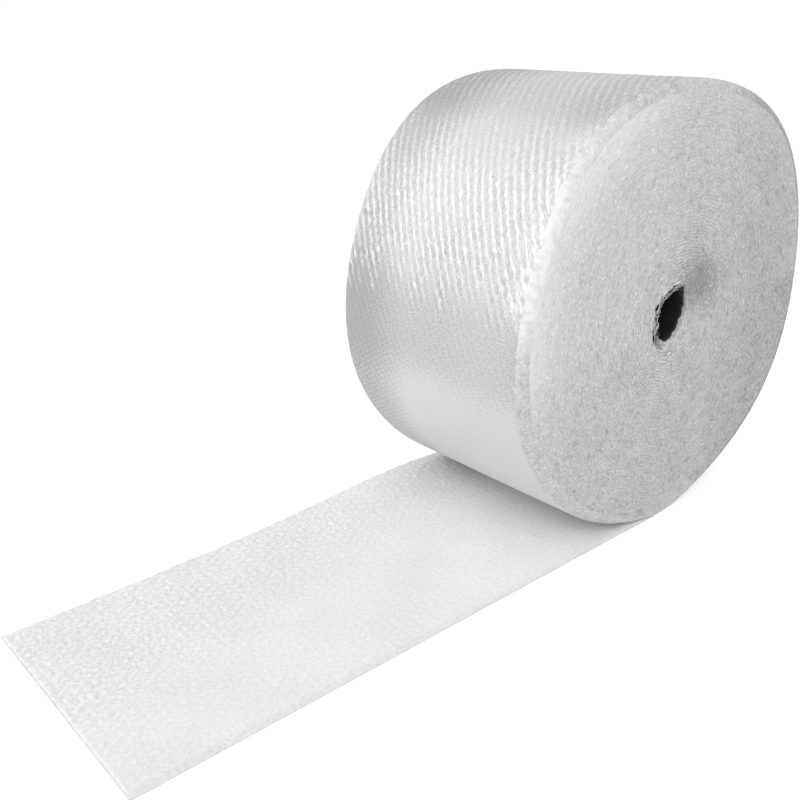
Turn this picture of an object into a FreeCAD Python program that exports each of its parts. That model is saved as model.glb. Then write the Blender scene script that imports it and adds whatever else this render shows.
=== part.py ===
import FreeCAD, Part
import math
import os

from FreeCAD import Vector

# A coreless roll of small-bubble cushioning film, lying on its side with its loose end
# laid out flat in front of it. The roll's axis runs along X, the loose end runs towards -Y,
# and the origin is on the floor under the middle of the roll.

# Driving dimensions, in millimetres and degrees.
film_width = 305.0
film_thickness = 4.8
roll_radius = 266.0

# The film's edges are crumpled over at the rims, in a few short slopes.
rim_radius = 12.0
rim_slopes = 3

# The roll's weight presses a narrow flat at its foot, and the loose end starts there.
foot_half_width = 30.0
foot_press = 0.6
foot_land = 8.0
leader_reach = 734.0

# The bubbles of the loose end lie upwards, in columns that run along the film.
bubble_pitch = 11.73
bubble_relief = 3.0

# The hand hole is where the winding began: a leaning oval a little off the middle, sharp at
# its top.
hole_half_length = 34.5
hole_half_width = 23.0
hole_foot_radius = 15.0
hole_lean = 31.0
hole_offset = -2.7
hole_drop = 6.5

# The ends sink in round the hole.
funnel_radius = 72.0
funnel_depth = 9.0
funnel_rings = 3

# The turns show on each end as a spiral of sloping bands.
turn_count = 8
turn_step = 3.0
turn_land = 3.0

cut_margin = 20.0

# The outer turn grows by one film thickness in a full turn. Its rear and front halves are
# arcs about two centres, one above the other, so that they meet smoothly at the top.
rear_radius = roll_radius + film_thickness / 4
front_radius = roll_radius - film_thickness / 4
rear_centre_z = math.sqrt(rear_radius ** 2 - foot_half_width ** 2)
front_centre_z = rear_centre_z + rear_radius - front_radius
axis_z = (rear_centre_z + front_centre_z) / 2
hole_z = axis_z - hole_drop
half_width = film_width / 2


def line(start, end):
    return Part.LineSegment(start, end).toShape()


def polyline(points):
    return [line(start, end) for start, end in zip(points, points[1:])]


def face_of(edges):
    return Part.Face(Part.Wire(edges))


def rim_points(side, radius):
    """Points along the rim at one end, from the end face up to the outer turn."""
    points = []
    for slope in range(rim_slopes + 1):
        turn = math.radians(90 * slope / rim_slopes)
        inset = rim_radius * (1 - math.cos(turn))
        rise = rim_radius * math.sin(turn)
        points.append(Vector(side * (half_width - inset), 0, radius - rim_radius + rise))
    return points


def roll_section(radius):
    """Half section of the roll, from its axis up to its outer turn."""
    outline = [Vector(half_width, 0, 0)]
    outline.extend(rim_points(1, radius))
    outline.extend(reversed(rim_points(-1, radius)))
    outline.append(Vector(-half_width, 0, 0))
    outline.append(outline[0])
    return face_of(polyline(outline))


def roll_half(radius, centre_z, side):
    """Rear half for side +1 and front half for side -1, each about its own centre."""
    centre = Vector(0, 0, centre_z)
    section = roll_section(radius)
    section.translate(centre)
    return section.revolve(centre, Vector(-side, 0, 0), 180)


def bubble_columns():
    """Top edge of the loose end: one round ridge over each column of bubbles."""
    count = round(film_width / bubble_pitch)
    pitch = film_width / count
    valley_z = film_thickness - bubble_relief
    ridges = []
    for column in range(count):
        left = -half_width + column * pitch
        valley = Vector(left, 0, valley_z)
        crest = Vector(left + pitch / 2, 0, film_thickness)
        next_valley = Vector(left + pitch, 0, valley_z)
        ridges.append(Part.Arc(valley, crest, next_valley).toShape())
    return ridges


def loose_end():
    """Pressed a little thinner at the roll's foot, and ridged from there to the cut edge."""
    pressed_length = foot_half_width + foot_land
    corner = Vector(-half_width, -pressed_length, 0)
    pressed = Part.makeBox(film_width, pressed_length, film_thickness - foot_press, corner)
    valley_z = film_thickness - bubble_relief
    underside = [
        Vector(half_width, 0, valley_z),
        Vector(half_width, 0, 0),
        Vector(-half_width, 0, 0),
        Vector(-half_width, 0, valley_z),
    ]
    section = face_of(bubble_columns() + polyline(underside))
    section.translate(Vector(0, -pressed_length, 0))
    ridged = section.extrude(Vector(0, pressed_length - leader_reach, 0))
    return [pressed, ridged]


def floor_cut():
    """What the roll's own weight presses flat at its foot."""
    size = 2 * (rear_radius + cut_margin)
    corner = Vector(-half_width - cut_margin, -size / 2, -cut_margin)
    return Part.makeBox(film_width + 2 * cut_margin, size, cut_margin, corner)


def hand_hole():
    """Oval passage from one end to the other, in the YZ plane and then along X."""
    side_shift = (hole_half_length ** 2 - hole_half_width ** 2) / (2 * hole_half_width)
    side_radius = hole_half_width + side_shift
    foot_reach = side_radius - hole_foot_radius
    foot_shift = math.sqrt(foot_reach ** 2 - side_shift ** 2)
    join_across = side_shift * (side_radius / foot_reach - 1)
    join_down = foot_shift * side_radius / foot_reach
    tip = Vector(0, 0, hole_half_length)
    right = Vector(0, hole_half_width, 0)
    right_join = Vector(0, join_across, -join_down)
    foot = Vector(0, 0, -foot_shift - hole_foot_radius)
    left_join = Vector(0, -join_across, -join_down)
    left = Vector(0, -hole_half_width, 0)
    outline = [
        Part.Arc(tip, right, right_join).toShape(),
        Part.Arc(right_join, foot, left_join).toShape(),
        Part.Arc(left_join, left, tip).toShape(),
    ]
    oval = face_of(outline)
    oval.rotate(Vector(0, 0, 0), Vector(1, 0, 0), -hole_lean)
    oval.translate(Vector(-half_width - cut_margin, hole_offset, hole_z))
    return oval.extrude(Vector(film_width + 2 * cut_margin, 0, 0))


def funnel(side):
    """Dish round the hole, in rings that grow steeper from its edge down to the hole."""
    end = side * half_width
    outside = end + side * cut_margin
    drop = funnel_radius - hole_half_width
    outline = []
    for ring in range(funnel_rings + 1):
        share = ring / funnel_rings
        depth = funnel_depth * share ** 2
        outline.append(Vector(end - side * depth, 0, funnel_radius - drop * share))
    outline.append(Vector(outline[-1].x, 0, 0))
    outline.append(Vector(outside, 0, 0))
    outline.append(Vector(outside, 0, funnel_radius))
    outline.append(outline[0])
    section = face_of(polyline(outline))
    centre = Vector(0, hole_offset, hole_z)
    section.translate(centre)
    return section.revolve(centre, Vector(1, 0, 0), 360)


def turn_bands(radii, side):
    """Saw-toothed section between the given radii: each band dips towards its outer edge."""
    end = side * half_width
    outside = end + side * cut_margin
    outline = [Vector(outside, 0, radii[0])]
    for inner, outer in zip(radii, radii[1:]):
        outline.append(Vector(end, 0, inner))
        outline.append(Vector(end - side * turn_step, 0, outer))
    outline.append(Vector(outside, 0, radii[-1]))
    outline.append(outline[0])
    return face_of(polyline(outline))


def turn_spiral(side):
    """Cutters for one end: an upper and a lower half turn of bands about two centres.

    The centres lie a quarter pitch to the rear and to the front of the axis, so each band
    of the upper half runs on into the next one of the lower half.
    """
    inner_reach = math.hypot(hole_offset, hole_drop) + funnel_radius + turn_land
    outer_reach = front_radius - rim_radius - turn_land
    pitch = (outer_reach - inner_reach) / (turn_count + 0.5)
    shift = pitch / 4
    upper_radii = [inner_reach + shift + pitch * turn for turn in range(turn_count + 1)]
    lower_radii = [radius + pitch / 2 for radius in upper_radii[:-1]]
    cutters = []
    for radii, way in ((upper_radii, 1), (lower_radii, -1)):
        centre = Vector(0, way * shift, axis_z)
        section = turn_bands(radii, side)
        section.rotate(Vector(0, 0, 0), Vector(1, 0, 0), -90)
        section.translate(centre)
        cutters.append(section.revolve(centre, Vector(way, 0, 0), 180))
    return cutters


def bubble_film_roll():
    rear = roll_half(rear_radius, rear_centre_z, 1)
    front = roll_half(front_radius, front_centre_z, -1)
    film = rear.multiFuse([front] + loose_end()).removeSplitter()
    cutters = [floor_cut(), hand_hole()]
    for side in (1, -1):
        cutters.append(funnel(side))
        cutters.extend(turn_spiral(side))
    return film.cut(cutters).removeSplitter()


os.makedirs("parts", exist_ok=True)
roll = bubble_film_roll()
roll.exportStep("parts/bubble_film_roll.step")
print("solids", len(roll.Solids), "valid", roll.isValid(), "faces", len(roll.Faces))
print("volume", round(roll.Volume / 1e9, 6), "cubic metres")
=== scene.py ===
import math

import bpy
import numpy as np
from mathutils import Matrix, Vector


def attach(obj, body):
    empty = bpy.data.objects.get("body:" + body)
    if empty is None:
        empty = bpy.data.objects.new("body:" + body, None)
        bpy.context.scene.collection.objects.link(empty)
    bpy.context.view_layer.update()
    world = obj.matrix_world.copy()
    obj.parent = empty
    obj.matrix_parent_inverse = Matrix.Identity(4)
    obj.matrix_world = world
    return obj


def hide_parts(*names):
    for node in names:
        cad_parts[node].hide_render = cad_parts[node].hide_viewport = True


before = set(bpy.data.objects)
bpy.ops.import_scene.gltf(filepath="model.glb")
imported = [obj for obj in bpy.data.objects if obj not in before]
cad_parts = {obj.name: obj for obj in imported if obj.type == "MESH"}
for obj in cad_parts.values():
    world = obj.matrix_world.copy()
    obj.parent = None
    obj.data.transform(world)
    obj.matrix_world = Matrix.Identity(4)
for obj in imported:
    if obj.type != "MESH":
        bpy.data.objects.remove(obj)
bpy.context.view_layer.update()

# A coreless roll of small-bubble cushioning film on its side, its loose end laid out in front.
# Metres, in the frame of the solids: the roll's axis runs along X, the loose end towards -Y.

filmNode = "bubble_film_roll"
fullTurn = 2 * math.pi
mm = 0.001


def smoothStep(low, high, values):
    share = np.clip((np.asarray(values, float) - low) / (high - low), 0, 1)
    return share * share * (3 - 2 * share)


# Rises from 0 to 1 and falls back to 0, between the four places of a span.
def within(span, values):
    rising, full, falling, gone = span
    return smoothStep(rising, full, values) * (1 - smoothStep(falling, gone, values))


# Seeded random numbers from -1 to 1, one for each pair of whole numbers.
def scattered(first, second, seed):
    table = np.random.default_rng(seed).uniform(-1, 1, 8191)
    first = np.asarray(first).astype(np.int64)
    second = np.asarray(second).astype(np.int64)
    return table[(first * 7919 + second * 104729) % 8191]


# Smooth noise from -1 to 1 over a lattice of cells one unit wide. It closes after wrap cells.
def smoothNoise(u, v, seed, wrap=None):
    u, v = np.broadcast_arrays(np.asarray(u, float), np.asarray(v, float))
    cellU, cellV = np.floor(u), np.floor(v)
    shareU = smoothStep(0, 1, u - cellU)
    shareV = smoothStep(0, 1, v - cellV)
    total = np.zeros(u.shape)
    for stepU in (0, 1):
        for stepV in (0, 1):
            placeU = cellU + stepU
            if wrap:
                placeU = placeU % wrap
            weightU = shareU if stepU else 1 - shareU
            weightV = shareV if stepV else 1 - shareV
            total += weightU * weightV * scattered(placeU, cellV + stepV, seed)
    return total


# The same noise over two lengths, with the sizes of its cells in millimetres.
def noiseOver(first, firstSize, second, secondSize, seed, wrap=None):
    return smoothNoise(first / (firstSize * mm), second / (secondSize * mm), seed, wrap)


# A row of values across the roll, whose last part repeats the first one backwards.
def mirrored(part, middle, sign=1):
    return np.concatenate([part, middle, sign * part[::-1]])


# Faces between two rows of the same length, or of a whole grid of rows.
def gridFaces(numbers, closed=False):
    if closed:
        numbers = np.concatenate([numbers, numbers[:, :1]], axis=1)
    quads = np.stack([numbers[:-1, :-1], numbers[:-1, 1:], numbers[1:, 1:], numbers[1:, :-1]], -1)
    return quads.reshape(-1, 4)


# Triangles between two rows of different lengths, each with its places along the row.
def zipFaces(outer, outerPlaces, inner, innerPlaces):
    fromOuter = np.concatenate([np.ones(len(outer) - 1, bool), np.zeros(len(inner) - 1, bool)])
    order = np.argsort(np.concatenate([outerPlaces[1:], innerPlaces[1:]]), kind="stable")
    fromOuter = fromOuter[order]
    atOuter = np.cumsum(fromOuter)
    atInner = np.cumsum(~fromOuter)
    first = outer[np.where(fromOuter, atOuter - 1, atOuter)]
    second = np.where(fromOuter, outer[atOuter], inner[atInner])
    third = inner[np.where(fromOuter, atInner, atInner - 1)]
    return np.stack([first, second, third], -1)


# Turns all faces over where they look away from the given direction on average.
def facingOut(points, faceSets, direction):
    score = 0.0
    for faces in faceSets:
        if len(faces):
            a, b, c = points[faces[:, 0]], points[faces[:, 1]], points[faces[:, 2]]
            normals = np.cross(b - a, c - a)
            middles = (a + b + c) / 3
            score += float((normals * direction(middles)).sum())
    return [faces[:, ::-1] if score < 0 else faces for faces in faceSets]


def makePiece(name, points, faceSets, direction, material, places=None, traits=None, edging=None):
    faceSets = facingOut(points, [np.asarray(faces, int) for faces in faceSets], direction)
    mesh = bpy.data.meshes.new(name)
    mesh.from_pydata(points.tolist(), [], [face for faces in faceSets for face in faces.tolist()])
    mesh.polygons.foreach_set("use_smooth", np.ones(len(mesh.polygons), bool))
    if places is not None:
        corners = np.empty(len(mesh.loops), np.int32)
        mesh.loops.foreach_get("vertex_index", corners)
        layer = mesh.uv_layers.new(name="filmPlace")
        layer.data.foreach_set("uv", places[corners].astype(np.float32).ravel())
    for trait, values in (traits or {}).items():
        layer = mesh.attributes.new(trait, "FLOAT", "POINT")
        layer.data.foreach_set("value", np.asarray(values, np.float32).ravel())
    mesh.materials.append(material)
    if edging:
        edgeMaterial, share = edging
        mesh.materials.append(edgeMaterial)
        chosen = np.concatenate([share[faces].mean(axis=1) > 0.5 for faces in faceSets])
        mesh.polygons.foreach_set("material_index", chosen.astype(np.int32))
    mesh.update()
    piece = bpy.data.objects.new(name, mesh)
    bpy.context.scene.collection.objects.link(piece)
    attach(piece, "root")
    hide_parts(filmNode)
    triangles = sum(len(face.vertices) - 2 for face in mesh.polygons)
    print("made", name, "with", triangles, "triangles")
    return piece


# Materials

def linearColour(hexColour):
    parts = [int(hexColour[place:place + 2], 16) / 255 for place in (1, 3, 5)]
    linear = [part / 12.92 if part <= 0.04045 else ((part + 0.055) / 1.055) ** 2.4 for part in parts]
    return (*linear, 1.0)


# Adds one node. An input is given a value, or the output that it is linked to.
def addNode(tree, kind, inputs=None, **settings):
    made = tree.nodes.new("ShaderNode" + kind)
    for name, value in settings.items():
        setattr(made, name, value)
    for name, value in (inputs or {}).items():
        if isinstance(value, bpy.types.NodeSocket):
            tree.links.new(value, made.inputs[name])
        else:
            made.inputs[name].default_value = value
    return made


def emptyMaterial(name):
    material = bpy.data.materials.new(name)
    material.use_nodes = True
    material.node_tree.nodes.clear()
    return material, material.node_tree


# How many of a pattern of this size in millimetres fit in a metre.
def perMetre(size):
    return 1000 / size


# The functions below add one common node each and return its output.
def maths(tree, operation, *values, **settings):
    return addNode(tree, "Math", dict(enumerate(values)), operation=operation, **settings).outputs[0]


def ranged(tree, value, low, high, first=0.0, last=1.0, **settings):
    inputs = {0: value, 1: low, 2: high, 3: first, 4: last}
    return addNode(tree, "MapRange", inputs, **settings).outputs[0]


def noise(tree, place, size, detail):
    inputs = {"Vector": place, "Scale": perMetre(size), "Detail": detail}
    return addNode(tree, "TexNoise", inputs).outputs[0]


def trait(tree, name):
    return addNode(tree, "Attribute", attribute_name=name).outputs["Fac"]


# A colour is given as hex, or as the output that it is linked to.
def blended(tree, share, *colours):
    inputs = {0: share}
    for place, colour in zip((6, 7), colours):
        inputs[place] = linearColour(colour) if isinstance(colour, str) else colour
    return addNode(tree, "Mix", inputs, data_type="RGBA").outputs[2]


def bumped(tree, height, strength, distance, **under):
    inputs = {"Height": height, "Strength": strength, "Distance": distance, **under}
    return addNode(tree, "Bump", inputs).outputs[0]


def finishFilm(tree, look, colour, rough, normal):
    inputs = {"Base Color": colour, "Roughness": rough, "IOR": polyethyleneIor,
              "Specular IOR Level": look["specular"], "Normal": normal}
    shader = addNode(tree, "BsdfPrincipled", inputs)
    addNode(tree, "OutputMaterial", {"Surface": shader.outputs[0]})


polyethyleneIor = 1.51
noiseBand = (0.30, 0.70)  # where nearly all values of a noise texture lie

outerFilmLook = {
    "film": "#DADADA",
    "shaded": "#A4A4A4",
    "highlightStroke": "#F8F8F8",
    "specular": 0.30,  # many thin layers mirror less than one thick one
    "roughness": (0.45, 0.25),  # between the strokes and on them
    "strokeSize": (2.4, 7.5),  # across and along a stroke
    "bubblePitch": 11.73,
    "rowPitch": 10.21,
    "grainSize": 2.2,
    "patchSize": 26,
    "flankShift": 0.30,  # from a row's crest to its lit flank, as a share of the pitch
    "rowWeight": 0.25,  # how far the rows and the single bubbles gather the strokes
    "domeWeight": 0.08,
    "strokeRange": (0.66, 0.80),
    "strokeHighlight": 0.90,
    "valleyRange": (0.68, 0.44),
    "valleyShade": 0.55,
    "hatchShade": 0.24,
    "mottleShade": (-0.32, 0.44),
    "strokeHeight": 0.45 * mm,
    "grainHeight": 0.34 * mm,
}

# Blown low-density polyethylene film, flat side out and drawn tight over the bubbles under it.
# It is milky and glossy. Short strokes of painted highlight, also bumped, crowd on the upper flank of
# each slanting row of bubbles, with painted shade between them. Low down, where it is slack, only fine
# hatching shows.
def makeOuterFilm():
    look = outerFilmLook
    material, tree = emptyMaterial("blownPolyethyleneFlatSide")
    place = addNode(tree, "UVMap", uv_map="filmPlace").outputs["UV"]
    traits = ("column", "press", "raisedAndHighlit", "shade", "strand", "dome", "hatched")
    column, press, raisedAndHighlit, shade, strand, dome, hatched = (trait(tree, name) for name in traits)
    along = addNode(tree, "SeparateXYZ", {"Vector": place}).outputs["Y"]
    strokeAcross = maths(tree, "MULTIPLY", strand, perMetre(look["strokeSize"][0]))
    strokeAlong = maths(tree, "MULTIPLY", along, perMetre(look["strokeSize"][1]))
    drawn = addNode(tree, "CombineXYZ", {"X": strokeAcross, "Y": strokeAlong}).outputs[0]
    streak = addNode(tree, "TexNoise", {"Vector": drawn, "Scale": 1.0, "Detail": 2.0}).outputs[0]
    # rows of bubbles two apart, which lie 60 degrees from the winding
    hatchWay = (-fullTurn * perMetre(look["bubblePitch"]), 1.5 * fullTurn * perMetre(look["rowPitch"]), 0)
    hatchPhase = addNode(tree, "VectorMath", {0: place, 1: hatchWay}, operation="DOT_PRODUCT")
    hatch = maths(tree, "SINE", hatchPhase.outputs["Value"])
    broken = maths(tree, "MULTIPLY", ranged(tree, streak, 0.40, 0.60), hatched)
    hatching = maths(tree, "MULTIPLY", hatch, broken)
    grain = noise(tree, place, look["grainSize"], 3.0)
    patch = noise(tree, place, look["patchSize"], 2.0)
    fold = maths(tree, "PINGPONG", maths(tree, "ADD", column, look["flankShift"]), 0.5)
    wave = ranged(tree, fold, 0.08, 0.46, interpolation_type="SMOOTHSTEP")
    overDome = maths(tree, "MULTIPLY_ADD", dome, look["domeWeight"], streak)
    crowded = maths(tree, "MULTIPLY_ADD", wave, look["rowWeight"], overDome)
    highlightStroke = ranged(tree, crowded, *look["strokeRange"])
    torn = ranged(tree, streak, 0.42, 0.58, 0.15, 1.0)
    strength = maths(tree, "MULTIPLY", press, ranged(tree, patch, 0.35, 0.62, 0.45, 1.0))
    pressed = maths(tree, "MULTIPLY", highlightStroke, strength)
    highlightShare = maths(tree, "ADD", pressed, maths(tree, "MULTIPLY", raisedAndHighlit, torn), use_clamp=True)
    # painted shade in the valleys between the strokes, on top of the painted shade that the shade attribute
    # carries, with random mottle and hatching
    valley = ranged(tree, crowded, *look["valleyRange"], 0.0, look["valleyShade"])
    sunk = maths(tree, "MULTIPLY_ADD", valley, strength, shade)
    mottle = ranged(tree, grain, *noiseBand, *look["mottleShade"])
    lined = maths(tree, "MULTIPLY_ADD", hatching, look["hatchShade"], mottle)
    shadeAndMottle = maths(tree, "ADD", sunk, lined, use_clamp=True)
    base = blended(tree, shadeAndMottle, look["film"], look["shaded"])
    # painted highlight: the strokes and the raised creases are painted whiter
    white = maths(tree, "MULTIPLY", highlightShare, look["strokeHighlight"])
    highlighted = blended(tree, white, base, look["highlightStroke"])
    rough = ranged(tree, highlightShare, 0.0, 1.0, *look["roughness"])
    fine = bumped(tree, grain, 0.6, look["grainHeight"])
    bump = bumped(tree, pressed, 0.7, look["strokeHeight"], Normal=fine)
    finishFilm(tree, look, highlighted, rough, bump)
    return material


cutEdgesLook = {
    "film": "#E0E0E0",
    "grooveShade": "#9A9A9A",
    "deepShade": "#161616",
    "glintSpeck": "#FAFAFA",
    "specular": 0.40,
    "roughness": (0.50, 0.26),
    "grainSize": 3.0,
    "cloudSize": 38,
    "flakeSize": 5.5,
    "cloudShade": 0.16,
    "grainShade": 0.42,
    "glintWhite": 0.62,
    "speckless": 0.56,  # share of the flakes that carry no speck
    "bumpDistance": 1.0 * mm,
}

# The cut edges of many turns of the same film, crumpled against each other: a satin, mealy
# surface, with small specks of painted highlight as where a fold faces the light, painted shade in the
# grooves and near-black painted shade behind the innermost lips.
def makeCutEdges():
    look = cutEdgesLook
    material, tree = emptyMaterial("blownPolyethyleneCutEdges")
    place = addNode(tree, "TexCoord").outputs["Object"]
    flake = addNode(tree, "TexVoronoi", {"Vector": place, "Scale": perMetre(look["flakeSize"]),
                                         "Randomness": 1.0})
    grain = noise(tree, place, look["grainSize"], 3.0)
    cloud = noise(tree, place, look["cloudSize"], 2.0)
    paintedShade, crumpleAndHighlight, deepShade = (trait(tree, name) for name in ("paintedShade", "crumpleAndHighlight", "deepShade"))
    clouded = ranged(tree, cloud, 0.35, 0.70, 0.0, look["cloudShade"])
    mottle = ranged(tree, grain, 0.62, 0.34, 0.0, look["grainShade"])
    shadeAndTone = maths(tree, "ADD", paintedShade, maths(tree, "ADD", clouded, mottle), use_clamp=True)
    base = blended(tree, shadeAndTone, look["film"], look["grooveShade"])
    # painted highlight: white specks on a share of the flakes, added to the painted highlight that the rim
    # and end carry
    near = ranged(tree, flake.outputs["Distance"], 0.36, 0.12, 0.0, look["glintWhite"])
    chosen = maths(tree, "GREATER_THAN", flake.outputs["Color"], look["speckless"])
    lit = maths(tree, "ADD", maths(tree, "MULTIPLY", near, chosen), crumpleAndHighlight, use_clamp=True)
    glinted = blended(tree, lit, base, look["glintSpeck"])
    darkened = blended(tree, deepShade, glinted, look["deepShade"])
    rough = ranged(tree, grain, *noiseBand, *look["roughness"])
    height = maths(tree, "SUBTRACT", grain, flake.outputs["Distance"])
    finishFilm(tree, look, darkened, rough, bumped(tree, height, 0.6, look["bumpDistance"]))
    return material


bubbleFilmLook = {
    "film": "#F8F8F8",
    "valley": "#C4C4C4",
    "specular": 0.35,
    "roughness": (0.34, 0.50),
    "rippleSize": (3.4, 4.2),
    "grainSize": 2.4,
    "cloudSize": 80,
    "cloudShade": 0.10,
    "rippleShade": (-0.12, 0.24),
    "bumpDistance": 0.40 * mm,
}

# Vacuum-formed bubbles in low-density polyethylene, seen from above on a pale floor: soft,
# milky domes with a satin gloss and fine ripples where the roll has pressed them.
def makeBubbleFilm():
    look = bubbleFilmLook
    material, tree = emptyMaterial("formedPolyethyleneBubbles")
    place = addNode(tree, "UVMap", uv_map="filmPlace").outputs["UV"]
    rippleScale = (perMetre(look["rippleSize"][0]), perMetre(look["rippleSize"][1]), 1)
    rippled = addNode(tree, "Mapping", {"Vector": place, "Scale": rippleScale}).outputs[0]
    ripple = addNode(tree, "TexNoise", {"Vector": rippled, "Scale": 1.0, "Detail": 3.0}).outputs[0]
    grain = noise(tree, place, look["grainSize"], 2.0)
    cloud = noise(tree, place, look["cloudSize"], 2.0)
    clouded = ranged(tree, cloud, 0.35, 0.70, 0.0, look["cloudShade"])
    mottle = ranged(tree, ripple, 0.63, 0.37, *look["rippleShade"])
    shade = maths(tree, "MULTIPLY_ADD", mottle, trait(tree, "ruffle"), clouded)
    # painted shade and random mottle darken the film towards its valley colour
    shadeAndTone = maths(tree, "ADD", trait(tree, "paintedShade"), shade, use_clamp=True)
    base = blended(tree, shadeAndTone, look["film"], look["valley"])
    rough = ranged(tree, ripple, *noiseBand, *look["roughness"])
    height = maths(tree, "MULTIPLY_ADD", grain, 0.5, ripple)
    finishFilm(tree, look, base, rough, bumped(tree, height, 0.5, look["bumpDistance"]))
    return material


holeFilmLook = {
    "deepShade": "#2A2A2A",
    "mouth": "#8A8A8A",
    "specular": 0.50,
    "roughness": (0.35, 0.55),
    "foldSize": 6.0,
    "bumpDistance": 0.8 * mm,
}

# The innermost turns of the film, in painted shade: clear film lets the light run on into the roll, and
# little of it comes back, so the passage is painted nearly black a finger's width inside its mouth, lighter
# at the mouth.
def makeHoleFilm():
    look = holeFilmLook
    material, tree = emptyMaterial("blownPolyethyleneInShade")
    place = addNode(tree, "TexCoord").outputs["Object"]
    fold = noise(tree, place, look["foldSize"], 3.0)
    frayed = maths(tree, "MULTIPLY", trait(tree, "mouth"), fold, use_clamp=True)
    base = blended(tree, frayed, look["deepShade"], look["mouth"])
    rough = ranged(tree, fold, *noiseBand, *look["roughness"])
    finishFilm(tree, look, base, rough, bumped(tree, fold, 0.5, look["bumpDistance"]))
    return material


# The direction towards an azimuth, counted from -Y towards +X, and an elevation, in degrees.
def directionTo(azimuth, elevation):
    azimuth, elevation = math.radians(azimuth), math.radians(elevation)
    level = math.cos(elevation)
    return Vector((math.sin(azimuth) * level, -math.cos(azimuth) * level, math.sin(elevation)))


# The camera stands where the photograph's did.
photoCamera = {
    "target": (-98.76 * mm, -221.16 * mm, 142.64 * mm),
    "distance": 1255.65 * mm,
    "azimuth": 50.82,
    "elevation": 22.53,
    "tilt": -1.94,
    "focalPixels": 988.6,
    "imagePixels": 800,
    "sensor": 36.0,
}

def makeCamera():
    spec = photoCamera
    tilt = math.radians(spec["tilt"])
    back = directionTo(spec["azimuth"], spec["elevation"])
    flatRight = (-back).cross(Vector((0, 0, 1))).normalized()
    flatUp = flatRight.cross(-back)
    right = flatRight * math.cos(tilt) + flatUp * math.sin(tilt)
    up = flatUp * math.cos(tilt) - flatRight * math.sin(tilt)
    data = bpy.data.cameras.new("photoCamera")
    data.sensor_width = spec["sensor"]
    data.lens = spec["focalPixels"] * spec["sensor"] / spec["imagePixels"]
    data.clip_start = 0.01
    data.clip_end = 60
    camera = bpy.data.objects.new("photoCamera", data)
    place = Vector(spec["target"]) + back * spec["distance"]
    camera.matrix_world = Matrix.Translation(place) @ Matrix((right, up, back)).transposed().to_4x4()
    bpy.context.scene.collection.objects.link(camera)
    bpy.context.scene.camera = camera


makeCamera()
print("camera placed")


# The wound roll: its outline in the YZ plane, from angle 0 at +Y over the top to the front.
roll = {
    "meanRadius": 266.57 * mm,
    "centreHeight": 265.2 * mm,
    "halfWidth": 152.5 * mm,
    "rimRadius": 13 * mm,
    "lobes": ((2, 1.11, 2.33), (3, 0.61, 0.07), (4, -2.44, 0.92), (5, -1.80, -1.81)),
    "footAngle": math.radians(270),
    "pressedFilm": 4.3 * mm,  # height of the loose end under the roll
    "pressedFrom": 16 * mm,  # where the outer turn leaves the roll, and where it is film on the floor
    "pressedTo": 52 * mm,
    "aroundSteps": 650,
}

def outlineRadius(angle):
    radius = np.full(np.shape(angle), roll["meanRadius"])
    for count, cosine, sine in roll["lobes"]:
        radius = radius + (cosine * np.cos(count * angle) + sine * np.sin(count * angle)) * mm
    return radius


# Height of the loose end where the outer turn runs out into it at the roll's foot.
def pressedHeight(y):
    return roll["pressedFilm"] * smoothStep(roll["pressedFrom"], roll["pressedTo"], -y)


# Keeps the roll on the floor, and at its front on the loose end that lies under it.
def restOnFloor(points):
    level = pressedHeight(points[:, 1])
    over = points[:, 2] - level
    points[:, 2] = level + 0.5 * (over + np.sqrt(over ** 2 + (0.7 * mm) ** 2))
    return points


# Distance to the nearest bubble's centre in a staggered lattice, and which bubble it is.
def nearestBubble(across, along, pitch, rowPitch, stretch=1.0):
    best = np.full(np.shape(across), 1e9)
    columns = np.zeros(np.shape(across))
    rows = np.zeros(np.shape(across))
    for step in (-1, 0, 1, 2):
        row = np.floor(along / rowPitch) + step
        shift = 0.5 * (row % 2)
        column = np.round(across / pitch - shift)
        aside = across - (column + shift) * pitch
        ahead = along - row * rowPitch
        distance = np.hypot(aside, ahead * stretch)
        closer = distance < best
        best = np.where(closer, distance, best)
        columns = np.where(closer, column, columns)
        rows = np.where(closer, row, rows)
    return best, columns, rows


outerTurn = {
    "acrossSteps": 130,
    "rimSteps": 9,
    "bubblePitch": 11.73 * mm,
    "rowsAround": 164,
    "columnRelief": 0.36 * mm,
    "bubbleRelief": 0.42 * mm,
    "wrinkleRelief": 0.20 * mm,
    "bubbleStretch": 0.75,  # the winding's pull draws the bubbles' marks out along the film
    "strokeLean": 0.574,  # across for each step along, where the strokes follow the slanting rows
    "rimCrumple": 0.20 * mm,
    "footRim": 0.12,  # share of the rim's rounding that is left where the roll rests
    "sag": 0.5 * mm,
    "streaks": 70,
    # spans in degrees round the roll
    "crowdSpan": (118, 146, 161, 173),
    "topSpan": (30, 60, 108, 124),
    "slackSpan": (188, 200, 222, 236),
    "topShade": (30, 60, 116, 130),
    "middleShade": (160, 175, 184, 202),
    "hatchSpan": (176, 190, 238, 256),
    "leanSpan": (132, 150, 240, 262),
    "farRimShade": (90, 115, 205, 235),
}

# Long creases along the winding: place across in mm, angle, half length and half width in mm,
# height in mm, and slant.
placedStreaks = (
    (-20, 101, 38, 1.6, 0.9, 0.10),
    (-6, 103, 30, 1.4, 0.8, 0.16),
    (10, 99, 26, 1.4, 0.6, -0.05),
    (-11, 120, 46, 1.6, 0.7, 0.06),
    (-37, 134, 40, 1.5, 0.6, 0.05),
    (139, 165, 14, 1.6, 1.3, 0.35),
    (131, 167, 12, 1.5, 1.1, -0.40),
    (145, 161, 15, 1.6, 1.2, 0.20),
    (124, 166, 11, 1.4, 0.9, 0.60),
    (136, 169, 12, 1.5, 1.0, -0.20),
    (148, 157, 13, 1.6, 1.0, -0.25),
)

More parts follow.
